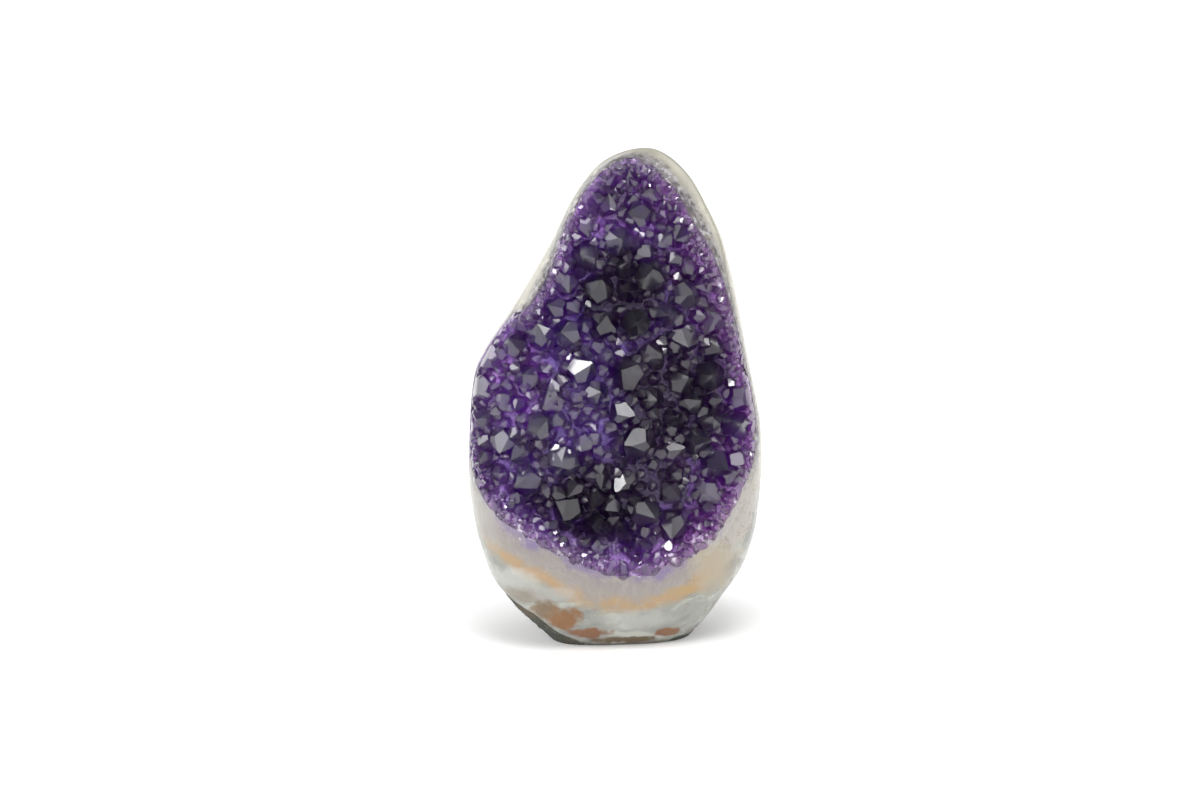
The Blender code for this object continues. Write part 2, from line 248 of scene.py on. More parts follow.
# Tints of the clear crystals
LEFT_CRYSTALS = (0.97, 0.97, 1.0)
RIGHT_CRYSTALS = (1.0, 0.86, 0.93)
# Painted shade: the darker tint of the crystals in the bed's hollows
PAINTED_SHADE_CRYSTALS = (0.45, 0.4, 0.52)

# Studio: the camera's sensor in millimetres, and the floor and what the lamps face in metres
SENSOR_WIDTH = 36
FLOOR_RADIUS = 6
FLOOR_SEGMENTS = 96
FLOOR_DROP = 0.0001
LAMP_TARGET = (0, 0, 0.07)
# Lamps: name, place and size in metres, and power
LAMPS = (
    ("left_lamp", (-1.0, -0.75, 0.75), 0.2, 2.2),
    ("top_lamp", (0.15, -0.7, 1.25), 0.45, 3.2),
    ("right_lamp", (1.05, -0.8, 0.6), 0.2, 1.4),
    ("low_lamp", (-0.5, -1.2, 0.25), 0.16, 1.2),
)
# Size and power of the small lamps that only make the crystals glint, and their places
GLINT_SIZE = 0.13
GLINT_POWER = 0.95
GLINTS = (
    (-0.7, -1.1, 0.9), (0.75, -1.0, 0.85), (-1.3, -0.5, 0.3), (1.3, -0.4, 0.25), (-0.9, -1.1, 0.12),
    (0.5, -1.3, 0.14), (-0.6, -0.2, 1.3), (0.7, -0.1, 1.25),
)


def colour_setting(name, description, default):
    return FloatVectorProperty(
        name=name, description=description, subtype="COLOR", default=default
    )


class StoneSettings(bpy.types.PropertyGroup):
    polish: FloatProperty(
        name="Polish roughness", description="Roughness of the polished agate", default=0.16, min=0
    )
    skin_start: FloatProperty(
        name="Basalt starts",
        description="Distance from the bed's edge to the basalt skin, in millimetres",
        default=26.5,
    )
    skin_relief: FloatProperty(
        name="Basalt relief", description="Depth of the skin's relief, in millimetres", default=1.0
    )
    milky: colour_setting("Milky quartz", "Quartz next to the crystals", (0.315, 0.285, 0.255))
    band: colour_setting("Band", "Ochre band below the crystals", (0.4, 0.25, 0.125))
    chalcedony: colour_setting("Chalcedony", "Grey-white agate", (0.295, 0.302, 0.27))
    cream: colour_setting("Cream rim", "Agate of the upper rim", (0.47, 0.45, 0.37))
    jasper: colour_setting("Jasper", "Brown patches above the base", (0.2, 0.085, 0.034))
    basalt: colour_setting("Basalt", "Rough outer skin", (0.062, 0.066, 0.052))


class CrystalSettings(bpy.types.PropertyGroup):
    violet: colour_setting("Violet", "What the crystal lets through", (0.65, 0.2, 0.77))
    depth_of_colour: FloatProperty(
        name="Depth of colour", description="Absorption per metre of crystal", default=900
    )
    refraction: FloatProperty(
        name="Refraction", description="Index of refraction of quartz", default=1.544
    )
    filling: IntProperty(
        name="Filling crystals", description="Draws for crystals in the gaps", default=9000
    )
    druse: IntProperty(
        name="Druse", description="Draws for the finest crystals along the edge", default=14000
    )
    seed: IntProperty(name="Seed", description="Start of the random draws", default=11)


class StageSettings(bpy.types.PropertyGroup):
    elevation: FloatProperty(
        name="Elevation", description="Camera's height above the horizon", subtype="ANGLE",
        default=math.radians(11),
    )
    lens: FloatProperty(name="Lens", description="Focal length in millimetres", default=85)
    distance: FloatProperty(
        name="Distance", description="Camera to the stone's middle", unit="LENGTH", default=0.812
    )
    aim: FloatVectorProperty(
        name="Aim", description="Point in the middle of the picture", subtype="TRANSLATION",
        default=(-0.0046, 0, 0.068),
    )


def hermite(table, keys, key):
    """Each column of the table at this key, on a smooth curve through its rows."""
    row = min(max(int(np.searchsorted(keys, key)) - 1, 0), len(keys) - 2)
    span = keys[row + 1] - keys[row]
    t = (key - keys[row]) / span

    def slope(i):
        before, after = max(i - 1, 0), min(i + 1, len(keys) - 1)
        return (table[after] - table[before]) / (keys[after] - keys[before]) * span

    start, end = table[row], table[row + 1]
    return (
        (2 * t**3 - 3 * t**2 + 1) * start
        + (t**3 - 2 * t**2 + t) * slope(row)
        + (3 * t**2 - 2 * t**3) * end
        + (t**3 - t**2) * slope(row + 1)
    )


SIDES = np.array([row[1:] for row in reversed(PROFILE)], float)
SIDE_KEYS = np.array([math.sqrt(1 - row[0] / HEIGHT) for row in reversed(PROFILE)])


def section(height):
    """Middle across, half width, middle in depth and half depth of the stone at this height."""
    key = math.sqrt(max(0.0, 1 - height / HEIGHT))
    left, right, front, back = hermite(SIDES, SIDE_KEYS, key)
    middle, centre = (left + right) / 2, (front + back) / 2 + DEPTH_SHIFT
    return middle, (right - left) / 2, centre, (back - front) / 2


def smooth(value, low, high):
    """0 below low, 1 above high, and a smooth climb between them."""
    t = min(1.0, max(0.0, (value - low) / (high - low)))
    return t * t * (3 - 2 * t)


def scaled(colour, factor):
    """The colour lighter or darker, with no part above 1."""
    return [min(1, part * factor) for part in colour]


def stone_point(height, turn):
    """Point of the stone's skin: turn 0 is on the right, a quarter turn further is the back."""
    middle, half, centre, deep = section(height)
    along, across = math.cos(turn), math.sin(turn)
    power = 2 / (BACK_SQUARENESS if across > 0 else FRONT_SQUARENESS)
    offset = half * math.copysign(abs(along) ** power, along)
    depth = centre + deep * math.copysign(abs(across) ** power, across) + FACE_TURN * offset
    point = Vector((middle + offset, depth, height))
    lumpiness = smooth(across, *LUMPY_TURN) * smooth(height, *LUMPY_HEIGHT)
    outward = Vector((offset, depth - centre, 0)).normalized()
    return point + outward * LUMP_HEIGHT * lumpiness * noise.noise(point / LUMP_SIZE)


def front_depth(across, height):
    """Depth of the stone's front skin, before it is hollowed."""
    middle, half, centre, deep = section(height)
    offset = across - middle
    share = min(abs(offset) / max(half, MM), WIDEST_SHARE)
    bulge = (1 - share**FRONT_SQUARENESS) ** (1 / FRONT_SQUARENESS)
    return centre - deep * bulge + FACE_TURN * offset


def edge_curve():
    """The bed's edge as a closed, smooth outline."""
    points = np.array(BED_EDGE, float)
    outline = []
    for i in range(len(points)):
        before, start, end, after = (points[(i + k) % len(points)] for k in (-1, 0, 1, 2))
        for t in np.arange(EDGE_STEPS) / EDGE_STEPS:
            bend = 2 * before - 5 * start + 4 * end - after
            twist = 3 * start - before - 3 * end + after
            outline.append(0.5 * (2 * start + (end - before) * t + bend * t**2 + twist * t**3))
    return np.array(outline)


EDGE = edge_curve()


def inset(across, height):
    """How far a point lies inside the bed's edge; outside it is negative."""
    point = np.array((across, height))
    start, end = EDGE, np.roll(EDGE, -1, axis=0)
    run = end - start
    share = np.clip(((point - start) * run).sum(1) / (run * run).sum(1), 0, 1)
    distance = np.linalg.norm(start + share[:, None] * run - point, axis=1).min()
    spans = (start[:, 1] > height) != (end[:, 1] > height)
    rise = np.where(spans, end[:, 1] - start[:, 1], 1.0)
    crossing = start[:, 0] + (height - start[:, 1]) / rise * run[:, 0]
    inside = np.count_nonzero(spans & (crossing > across)) % 2 == 1
    return distance if inside else -distance


def bed_floor(across, height):
    """Depth of the hollow's floor."""
    share = inset(across, height) / WALL_WIDTH
    full = BED_DEPTH + sum(
        depth * math.exp(-((across - x) ** 2 + (height - z) ** 2) / radius**2)
        for x, z, radius, depth in BED_WAVES
    )
    if share < 0:
        return front_depth(across, height) + 2 * full * max(share, -1)
    return front_depth(across, height) + full * (1 - (1 - min(share, 1)) ** 2)


def floor_normal(across, height):
    """Direction that crystals grow in, held back where the bed's wall is steep."""

    def lean(right, up):
        beyond, before = (across + right, height + up), (across - right, height - up)
        slope = (bed_floor(*beyond) - bed_floor(*before)) / (2 * NORMAL_STEP)
        return max(-MOST_LEAN, min(MOST_LEAN, slope))

    return Vector((lean(NORMAL_STEP, 0), -1, lean(0, NORMAL_STEP))).normalized()


def mesh_of(name, bm):
    """A mesh in metres from one in millimetres."""
    bmesh.ops.scale(bm, vec=[MM * fit for fit in FIT], verts=bm.verts)
    bmesh.ops.recalc_face_normals(bm, faces=bm.faces)
    mesh = bpy.data.meshes.new(name)
    bm.to_mesh(mesh)
    bm.free()
    return mesh


def new_object(name, mesh):
    built = bpy.data.objects.new(name, mesh)
    bpy.context.scene.collection.objects.link(built)
    return built


def drawn_ring(bm, ring, edges):
    """The ring's copy, joined to it by new faces, in the same order."""
    drawn = bmesh.ops.extrude_edge_only(bm, edges=edges)["geom"]
    fresh = set(e for e in drawn if isinstance(e, bmesh.types.BMVert))
    return [next(e.other_vert(v) for e in v.link_edges if e.other_vert(v) in fresh) for v in ring]


def edge_in_space():
    """The bed's edge on the stone's skin, for measuring distances from it."""
    tree = kdtree.KDTree(len(EDGE))
    for i, (across, height) in enumerate(EDGE):
        tree.insert((across, front_depth(across, height), height), i)
    tree.balance()
    return tree


def skin_start(point, settings):
    """How far from the bed's edge the basalt starts here: nearer low on the left."""
    low = 1 - smooth(point.z, 22, 40)
    low_left, low_right = smooth(-point.x, 5, 25) * low, smooth(point.x, 8, 22) * low
    return settings.skin_start - 4.5 * low_left + 2 * low_right + 3 * noise.noise(point / 9)


def basalt_share(point, from_edge, settings):
    """0 on the polished agate, 1 on the basalt skin."""
    start = skin_start(point, settings)
    return smooth(from_edge, start - 0.4, start + 0.8)


def roughened(point, from_edge, settings):
    """A point of the skin, sunk where the skin is rough basalt."""
    if from_edge < settings.skin_start - 9:
        return point
    rough = basalt_share(point, from_edge, settings) * smooth(point.z, 0.4, 3)
    relief = (
        0.55
        + 0.6 * noise.noise(point / 5)
        + 0.5 * abs(noise.noise(point / 2.2))
        + 0.3 * noise.noise(point / 1.2)
    )
    inward = Vector((point.x, point.y, 0)).normalized()
    return point - inward * settings.skin_relief * rough * max(relief, 0.15)


def stone_blank(rings, segments, finished):
    """The whole stone before it is hollowed: rings drawn up from the base and closed at the tip."""
    bm = bmesh.new()
    turns = [2 * math.pi * i / segments for i in range(segments)]
    bmesh.ops.create_circle(bm, cap_ends=True, segments=segments, radius=1)
    ring = sorted(bm.verts, key=lambda v: math.atan2(v.co.y, v.co.x) % (2 * math.pi))
    for row in range(rings + 1):
        if row:
            edges = [bm.edges.get((ring[i - 1], ring[i])) for i in range(segments)]
            ring = drawn_ring(bm, ring, edges)
        height = HEIGHT * (1 - math.cos(math.pi * row / rings)) / 2
        for vert, turn in zip(ring, turns):
            vert.co = finished(stone_point(height, turn))
    bmesh.ops.pointmerge(bm, verts=ring, merge_co=finished(stone_point(HEIGHT, 0)))
    return mesh_of("stone_blank", bm)


def bed_cutter():
    """What hollows the stone, from the bed's floor out to the front."""
    bm = bmesh.new()
    bmesh.ops.create_circle(bm, cap_ends=True, cap_tris=True, segments=len(EDGE), radius=1)
    hub = max(bm.verts, key=lambda v: len(v.link_edges))
    ring = sorted((v for v in bm.verts if v != hub), key=lambda v: -math.atan2(v.co.y, v.co.x))
    hub.co = (*BED_MIDDLE, 0)
    shares = [math.sin(math.pi / 2 * i / CUTTER_RINGS) for i in range(1, CUTTER_RINGS + 1)]
    for i, share in enumerate((*shares, CUTTER_OVERHANG)):
        if i:
            edges = [bm.edges.get((ring[k - 1], ring[k])) for k in range(len(ring))]
            ring = drawn_ring(bm, ring, edges)
        for vert, spoke in zip(ring, EDGE):
            vert.co = (*(Vector(BED_MIDDLE).lerp(Vector(spoke), share)), 0)
    for vert in bm.verts:
        across, height = vert.co.x, vert.co.y
        edge = inset(across, height)
        lift = BED_LIFT * smooth(edge, 0, 2)
        outward = Vector((across - BED_MIDDLE[0], height - BED_MIDDLE[1])).normalized()
        swing = noise.noise(Vector((across, height, 3)) / 3.2)
        wobble = EDGE_WOBBLE * swing * (1 - smooth(edge, 0, 4))
        across, height = across + outward.x * wobble, height + outward.y * wobble
        vert.co = (across, bed_floor(vert.co.x, vert.co.y) - lift, height)
    drawn = bmesh.ops.extrude_face_region(bm, geom=list(bm.faces), use_keep_orig=True)["geom"]
    for vert in (e for e in drawn if isinstance(e, bmesh.types.BMVert)):
        vert.co.y = -REACH
    bmesh.ops.triangulate(bm, faces=bm.faces, quad_method="FIXED")
    return mesh_of("bed_cutter", bm)


def combined(target, others, operation):
    """The target after a Boolean operation with the others, which are removed."""
    tools = bpy.data.collections.new("tools")
    bpy.context.scene.collection.children.link(tools)
    for other in others:
        tools.objects.link(other)
    modifier = target.modifiers.new(operation, "BOOLEAN")
    modifier.operation = operation
    modifier.solver = "MANIFOLD"
    modifier.operand_type = "COLLECTION"
    modifier.collection = tools
    graph = bpy.context.evaluated_depsgraph_get()
    mesh = bpy.data.meshes.new_from_object(target.evaluated_get(graph))
    if not mesh.polygons:
        raise RuntimeError(f"{operation} of {target.name} left nothing")
    target.modifiers.clear()
    target.data = mesh
    for other in others:
        bpy.data.meshes.remove(other.data)
    bpy.data.collections.remove(tools)
    return target


class Wire:
    """A number in a material. Python's operators on it add Math nodes."""

    def __init__(self, maker, socket):
        self.maker = maker
        self.socket = socket

    def joined(self, operation, *values):
        return self.maker.add("ShaderNodeMath", {"operation": operation}, dict(enumerate(values)))

    def __add__(self, other):
        return self.joined("ADD", self, other)

    def __sub__(self, other):
        return self.joined("SUBTRACT", self, other)

    def __rsub__(self, other):
        return self.joined("SUBTRACT", other, self)

    def __mul__(self, other):
        return self.joined("MULTIPLY", self, other)

    def __truediv__(self, other):
        return self.joined("DIVIDE", self, other)

    __radd__ = __add__
    __rmul__ = __mul__


class Finish:
    """The nodes of a material or of the world, added one at a time."""

    def __init__(self, owner):
        self.owner = owner
        owner.use_nodes = True
        self.tree = owner.node_tree
        self.tree.nodes.clear()

    def add(self, kind, settings=None, values=None, output=0):
        """A node with these settings and socket values or links; gives one of its outputs."""
        node = self.tree.nodes.new(kind)
        for name, value in (settings or {}).items():
            setattr(node, name, value)
        for name, value in (values or {}).items():
            if isinstance(value, Wire):
                self.tree.links.new(value.socket, node.inputs[name])
            else:
                node.inputs[name].default_value = value
        return Wire(self, node.outputs[output])

    def ramp(self, factor, stops):
        """Colours along a factor from 0 to 1."""
        wire = self.add("ShaderNodeValToRGB", None, {0: factor})
        ramp = wire.socket.node.color_ramp
        while len(ramp.elements) < len(stops):
            ramp.elements.new(0.5)
        for element, (position, colour) in zip(ramp.elements, stops):
            element.position = position
            element.color = (*colour, 1)
        return wire

    def mix(self, factor, first, second):
        """Two colours mixed."""
        first, second = (c if isinstance(c, Wire) else (*c, 1) for c in (first, second))
        values = {0: factor, 6: first, 7: second}
        return self.add("ShaderNodeMix", {"data_type": "RGBA"}, values, output=2)

    def step(self, value, low, high):
        """0 below low, 1 above high, and a smooth climb between them."""
        climb = {"interpolation_type": "SMOOTHSTEP"}
        return self.add("ShaderNodeMapRange", climb, {0: value, 1: low, 2: high})

    def noise(self, place, size, detail, roughness=0.55, distortion=0.0):
        """Cloudy noise of about 0.5, whose lumps have this size in millimetres."""
        values = {"Vector": place, "Scale": 1 / (size * MM), "Detail": detail}
        values.update({"Roughness": roughness, "Distortion": distortion})
        return self.add("ShaderNodeTexNoise", None, values)

    def front_place(self, place):
        """Across and height of a point, in millimetres."""
        return [self.add("ShaderNodeSeparateXYZ", None, {0: place}, output=k) / MM for k in (0, 2)]

    def patch(self, across, height, place, wander, softness):
        """1 inside a patch of the front, given by its middle and half sizes in millimetres."""
        x, z, wide, tall = place
        right, up = (across - x) / wide, (height - z) / tall
        distance = right * right + up * up + wander
        return 1 - self.step(distance, 1 - softness, 1 + softness)

    def principled(self, values):
        return self.add("ShaderNodeBsdfPrincipled", None, values)

    def greatest(self, first, second):
        return self.add("ShaderNodeMath", {"operation": "MAXIMUM"}, {0: first, 1: second})

    def bump(self, height, strength, distance):
        values = {"Strength": strength, "Distance": distance, "Height": height}
        return self.add("ShaderNodeBump", None, values)

    def output(self, kind, links):
        node = self.tree.nodes.new(kind)
        for name, wire in links.items():
            self.tree.links.new(wire.socket, node.inputs[name])
        return self.owner


class Agate(Finish):
    """The stone's material, with what all its layers read."""

    def __init__(self, settings):
        super().__init__(bpy.data.materials.new("banded_agate"))
        self.settings = settings
        self.place = self.add("ShaderNodeTexCoord", output="Object")
        self.across, self.height = self.front_place(self.place)
        self.from_bed = self.attribute("from_bed")
        self.basalt = self.attribute("basalt")
        self.slow = self.noise(self.place, 14, 2.0)
        self.middling = self.noise(self.place, 5, 3.0)
        self.fine = self.noise(self.place, 2.2, 4.0)
        layer = self.from_bed + (self.slow - 0.5) * 8 + (self.middling - 0.5) * 4
        self.layer = layer + (self.fine - 0.5) * 1.6
        self.clouds = self.noise(self.stretched((0.5, 0.7, 1)), 5, 4.0, 0.55, 0.5)
        self.on_floor = self.step(self.from_bed, 0.1, -0.3)

    def attribute(self, name):
        return self.add("ShaderNodeAttribute", {"attribute_name": name}, output="Fac")

    def stretched(self, scale):
        return self.add("ShaderNodeMapping", None, {"Vector": self.place, "Scale": scale})

    def spot(self, place, softness):
        """1 inside a spot of the front whose edge follows the stone's grain."""
        wander = (self.middling - 0.5) * 3.2 + (self.fine - 0.5) * 0.5
        return self.patch(self.across, self.height, place, wander, softness)

    def quartz(self):
        """Milky quartz next to the crystals, with fine columns that stand square to them."""
        milky = self.settings.milky
        violet = (milky[0] * 0.7, milky[1] * 0.6, milky[2] * 1.15)
        lilac = (milky[0] * 0.94, milky[1] * 0.93, milky[2])
        warm = (milky[0] * 1.04, milky[1], milky[2] * 0.9)
        stops = ((0.0, violet), (0.2, lilac), (0.6, milky), (1.0, warm))
        quartz = self.ramp(self.layer / 10, stops)
        sideways = (self.slow - 0.5) * 20
        stained = self.mix(self.step(self.middling, 0.6, 0.72) * 0.6, GREY_CREAM, RUSTY_SPECK)
        quartz = self.mix(self.step(self.across + sideways, 20, 30) * 0.8, quartz, stained)
        on_left = self.step(self.across * -1 + sideways, 28, 36)
        quartz = self.mix(on_left * 0.6, quartz, GREEN_WHITE)
        columns = self.noise(self.stretched((1, 1, 0.22)), 1.8, 3.0, 0.5)
        quartz = self.mix(self.step(columns, 0.5, 0.75) * 0.35, quartz, scaled(milky, 1.3))
        quartz = self.mix(self.step(columns, 0.48, 0.3) * 0.12, quartz, scaled(violet, 0.7))
        grains = self.step(self.fine, 0.66, 0.74) * self.step(self.layer, 5, 1)
        return self.mix(grains * 0.5, quartz, QUARTZ_GRAIN)

    def chalcedony(self):
        """Grey-white chalcedony below the quartz, clouded lighter and darker."""
        grey = self.settings.chalcedony
        bluish = (grey[0] * 0.7, grey[1] * 0.72, grey[2] * 0.8)
        clouded = self.mix(self.step(self.clouds, 0.5, 0.68), grey, scaled(grey, 1.5))
        return self.mix(self.step(self.clouds, 0.48, 0.32) * 0.7, clouded, bluish)

    def banded(self, colour):
        """The colour with the ochre band between the lower quartz and the chalcedony."""
        first = self.settings.band
        second = (first[0] * 1.1, first[1] * 1.2, first[2] * 1.3)
        band = self.step(self.layer, 5.2, 8.8) * (1 - self.step(self.layer, 9.0, 12.8))
        band = band * self.step(self.slow + self.fine * 0.4, 0.45, 0.75)
        band = band * self.step(self.height, 36, 30) * self.step(self.across, 30, 24)
        return self.mix(band * 0.92, colour, self.mix(self.middling, first, second))

    def rim(self):
        """Upper rim: cream, greener further out, grey and speckled next to the crystals."""
        cream = self.settings.cream
        greenish = (cream[0] * 0.9, cream[1] * 0.92, cream[2] * 0.74)
        dull = scaled(cream, 0.8)
        stops = ((0.0, RIM_DARK_GREY), (0.1, RIM_GREY), (0.22, dull), (0.42, cream))
        rim = self.ramp(self.layer / 20, (*stops, (0.6, greenish), (0.9, dull)))
        rim = self.mix(self.step(self.clouds, 0.52, 0.68) * 0.5, rim, scaled(cream, 1.25))
        specks = self.noise(self.place, 1.8, 4.0, 0.6)
        near = self.step(self.layer, 4.5, 1.0)
        rim = self.mix(self.step(specks, 0.52, 0.64) * near * 0.7, rim, RIM_PALE_SPECK)
        return self.mix(self.step(specks, 0.48, 0.38) * near * 0.8, rim, RIM_DARK_SPECK)

    def veined(self, colour):
        """The colour with fine veins, brown on the right and white elsewhere."""
        wander = self.noise(self.place, 9, 5.0, 0.6, 1.2)
        off_vein = self.add("ShaderNodeMath", {"operation": "ABSOLUTE"}, {0: wander - 0.5})
        vein = 1 - self.step(off_vein, 0.001, 0.012)
        on_right = self.step(self.across + (self.slow - 0.5) * 20, 12, 24)
        colour = self.mix(vein * on_right * 0.55, colour, BROWN_VEIN)
        return self.mix(vein * (1 - on_right) * 0.16, colour, WHITE_VEIN)

    def patched(self, colour):
        """The colour with the patches whose places are known, the jasper last."""
        for place, shade, strength in AGATE_PATCHES:
            colour = self.mix(self.spot(place, softness=0.9) * strength, colour, shade)
        jasper = self.settings.jasper
        orange = (jasper[0] * 1.15, jasper[1] * 1.25, jasper[2])
        dark = (jasper[0] * 0.6, jasper[1] * 0.9, jasper[2])
        for place, shade in zip(JASPER_PATCHES, (PALE_JASPER, orange, jasper, dark, jasper)):
            uneven = self.mix(self.fine, scaled(shade, 0.75), scaled(shade, 1.3))
            colour = self.mix(self.spot(place, softness=0.5), colour, uneven)
        return colour

    def edged(self, colour):
        """The colour with a dark line along the base, and dark and pale ones next to the basalt."""
        at_base = self.step(self.height + (self.middling - 0.5) * 3, 1.5, 0.5)
        colour = self.mix(at_base * 0.85, colour, BASE_LINE)
        parts = {0: self.from_bed, 1: self.across * 0.08, 2: self.height * 0.08}
        along = self.add("ShaderNodeCombineXYZ", None, parts)
        values = {"Vector": along, "Scale": 0.9, "Detail": 3.0, "Roughness": 0.6}
        lines = self.add("ShaderNodeTexNoise", None, values)
        striped = self.mix(self.step(lines, 0.42, 0.58), DARK_LINE, PALE_LINE)
        return self.mix(self.step(self.basalt, 0.0, 0.3), colour, striped)

    def bed(self, grains, tints):
        """The bed's floor, seen between and through the crystals: pale at its edge, dark inside,
        with painted glow in bright places and painted shade in its hollows.
        """
        patches = self.noise(self.place, 8, 2.0)
        depth = self.from_bed * -1 + (patches - 0.5) * 8
        warm = self.step(self.across + (self.slow - 0.5) * 30, -8, 22)
        cool_bed, warm_bed = (self.ramp(depth / 12, stops) for stops in (COOL_BED, WARM_BED))
        floor = self.mix(warm * 0.7, cool_bed, warm_bed)
        floor = self.mix(self.step(self.across * -1, 32, 37) * 0.75, floor, LEFT_BED)
        upper_edge = self.step(self.height + (self.slow - 0.5) * 20, 42, 62)
        floor = self.mix(upper_edge * self.step(depth, 5, 1) * 0.6, floor, UPPER_BED)
        # Painted glow: brighter violet in the listed places
        for place in PAINTED_GLOW:
            floor = self.mix(self.spot(place, softness=0.8) * 0.6, floor, PAINTED_GLOW_BED)
        # Painted shade: the floor made near black deep in the bed and in the listed hollows
        painted_shade = self.step(patches, 0.5, 0.62) * 0.8 * self.step(depth, 4, 9)
        for place in SHADED_HOLLOWS:
            painted_shade = self.greatest(painted_shade, self.spot(place, softness=0.6))
        floor = self.mix(painted_shade * 0.94, floor, PAINTED_SHADE_BED)
        grain = self.add("ShaderNodeSeparateXYZ", None, {0: tints})
        floor = self.mix(self.step(grain, 0.3, 0.9) * 0.6, floor, DARK_GRAIN)
        bright = self.step(grain, 0.18, 0.1) * self.step(depth, 4, 1)
        return self.mix(bright * 0.7, floor, BRIGHT_GRAIN)

    def polished(self, relief):
        """Ground and polished agate, and the grainy floor of the hollow."""
        settings = self.settings
        colour = self.mix(self.step(self.layer, 8.6, 10.4), self.quartz(), self.chalcedony())
        colour = self.banded(colour)
        upper = self.step(self.height + (self.slow - 0.5) * 24, 42, 56)
        colour = self.mix(upper, colour, self.rim())
        colour = self.edged(self.patched(self.veined(colour)))
        cells = {"Vector": self.place, "Scale": GRAINS_PER_METRE}
        grains = self.add("ShaderNodeTexVoronoi", None, cells)
        tints = self.add("ShaderNodeTexVoronoi", None, cells, output="Color")
        colour = self.mix(self.on_floor, colour, self.bed(grains, tints))
        pitted = self.step(self.from_bed, 3.5, 1.0) * self.step(self.middling, 0.35, 0.6)
        bumps = relief * (pitted + 0.08) * (1 - self.on_floor) - grains * self.on_floor * 3
        return self.principled({
            "Base Color": colour,
            "Roughness": self.step(self.fine, 0.2, 0.9) * 0.12 + pitted * 0.2 + settings.polish,
            "Subsurface Weight": 0.3,
            "Subsurface Radius": (1.0, 0.9, 0.8),
            "Subsurface Scale": 0.0025,
            "Normal": self.bump(bumps, 0.4, 0.0003),
        })

    def skin(self, relief):
        """Rough basalt, stained brown and green, with dark hollows and pale specks."""
        grain = self.noise(self.place, 0.6, 4.0, 0.75)
        speck = self.noise(self.place, 1.6, 2.0, 0.5)
        stain = self.noise(self.place, 16, 5.0, 0.6, 1.0)
        hollows = self.noise(self.place, 3.0, 4.0, 0.65)
        basalt = self.settings.basalt
        colour = self.mix(self.step(grain, 0.35, 0.7), scaled(basalt, 0.45), scaled(basalt, 1.9))
        colour = self.mix(self.step(stain, 0.5, 0.62) * 0.65, colour, BROWN_STAIN)
        colour = self.mix(self.step(stain, 0.46, 0.34) * 0.6, colour, GREEN_STAIN)
        colour = self.mix(self.step(hollows, 0.46, 0.34) * 0.75, colour, BASALT_HOLLOW)
        specks = self.step(speck, 0.66, 0.72) * self.step(stain, 0.42, 0.58)
        return self.principled({
            "Base Color": self.mix(specks * 0.6, colour, BASALT_SPECK),
            "Roughness": 0.78,
            "Normal": self.bump(relief + hollows * 2.5, 0.7, 0.0006),
        })


def finish_agate(settings):
    """Polished agate in bands that follow the crystal bed, with rough basalt beyond them."""
    made = Agate(settings)
    relief = made.noise(made.place, 0.9, 4.0, 0.7)
    where_basalt = made.step(made.basalt, 0.3, 0.7)
    layers = {0: where_basalt, 1: made.polished(relief), 2: made.skin(relief)}
    shader = made.add("ShaderNodeMixShader", None, layers)
    return made.output("ShaderNodeOutputMaterial", {"Surface": shader})


def finish_amethyst(settings):
    """Clear violet quartz, redder on the right, with painted shade in the bed's hollows: a darker
    tint and a weaker coat there.
    """
    made = Finish(bpy.data.materials.new("amethyst"))
    place = made.add("ShaderNodeTexCoord", output="Object")
    across, height = made.front_place(place)
    drift = made.noise(place, 7, 2.0) - 0.5
    # Painted shade: the crystals darker and less glossy in the listed hollows
    painted_shade, *others = [made.patch(across, height, dark, drift * 3, 0.7) for dark in SHADED_HOLLOWS]
    for other in others:
        painted_shade = made.greatest(painted_shade, other)
    tint = made.mix(made.step(across + drift * 40, 0.0, 26.0), LEFT_CRYSTALS, RIGHT_CRYSTALS)
    shader = made.principled({
        "Base Color": made.mix(painted_shade, tint, PAINTED_SHADE_CRYSTALS),
        "Roughness": 0.29,
        "IOR": settings.refraction,
        "Transmission Weight": 1.0,
        "Coat Weight": 1 - painted_shade * 0.5,
        "Coat Roughness": 0.03,
        "Coat IOR": 1.6,
        "Specular IOR Level": 0.25,
    })
    values = {"Color": (*settings.violet, 1), "Density": settings.depth_of_colour}
    volume = made.add("ShaderNodeVolumeAbsorption", None, values)
    return made.output("ShaderNodeOutputMaterial", {"Surface": shader, "Volume": volume})


def mark_stone(mesh, edge, settings):
    """Writes each point's distance from the bed's edge, negative on its floor, and the basalt."""
    distances, basalt = [], []
    for vert in mesh.vertices:
        point = Vector([c / (MM * fit) for c, fit in zip(vert.co, FIT)])
        away = edge.find(point)[2]
        if front_depth(point.x, point.z) + BEHIND_SKIN < point.y < 0:
            inside = inset(point.x, point.z)
            if inside > -PAST_EDGE and point.y < bed_floor(point.x, point.z) + PAST_FLOOR:
                away = min(-inside, NEAREST_ON_FLOOR)
        distances.append(away)
        basalt.append(basalt_share(point, away, settings))
    for name, values in (("from_bed", distances), ("basalt", basalt)):
        mesh.attributes.new(name, "FLOAT", "POINT").data.foreach_set("value", values)


